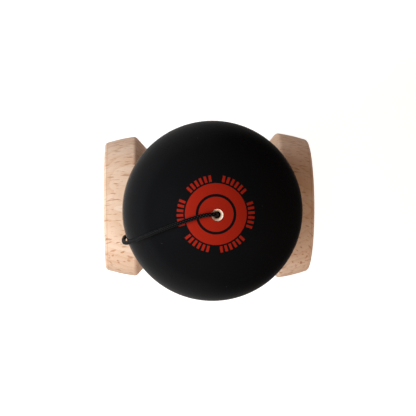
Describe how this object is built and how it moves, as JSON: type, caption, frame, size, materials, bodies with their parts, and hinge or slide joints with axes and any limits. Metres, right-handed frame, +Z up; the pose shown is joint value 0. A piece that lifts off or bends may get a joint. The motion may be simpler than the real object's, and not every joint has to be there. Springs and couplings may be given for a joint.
{
  "type": "kendama cup-and-ball toy",
  "caption": "Wooden cup-and-ball toy standing on its base cup, with its bored ball on the spike and its string wound round the handle under the two side cups.",
  "frame": {"origin": "centre of the base cup's rim, in the plane it stands on", "axes": "+Z up along the handle and the spike, +X along the side cups towards the big cup, string hole of the cup piece on the -Y side"},
  "size_m": [0.0734, 0.06, 0.1868],
  "materials": {
    "beech_handle": "bare beech, turned and fine-sanded",
    "beech_cups": "bare beech, turned and fine-sanded",
    "ball_paint": "matt black rubber-feel paint on beech, with a red print round the string hole",
    "bead_wood": "plain turned wood",
    "string": "black braided nylon"
  },
  "bodies": {
    "ken": {"ken": "beech_handle", "sarado": "beech_cups", "ken_knot": "string", "string_lower": "string", "string_winding": "string", "string_tail": "string"},
    "string_end": {"bead": "bead_wood", "tama_knot": "string", "string_upper": "string"},
    "tama": {"tama": "ball_paint"}
  },
  "joints": [
    {"name": "tama_lift", "type": "slide", "parent": "ken", "child": "string_end", "axis": [0, 0, 1], "range_m": [0, 0.045]},
    {"name": "tama_spin", "type": "hinge", "parent": "string_end", "child": "tama", "pos_m": [0, 0, 0.155], "axis": [0, 0, 1], "continuous": true}
  ]
}
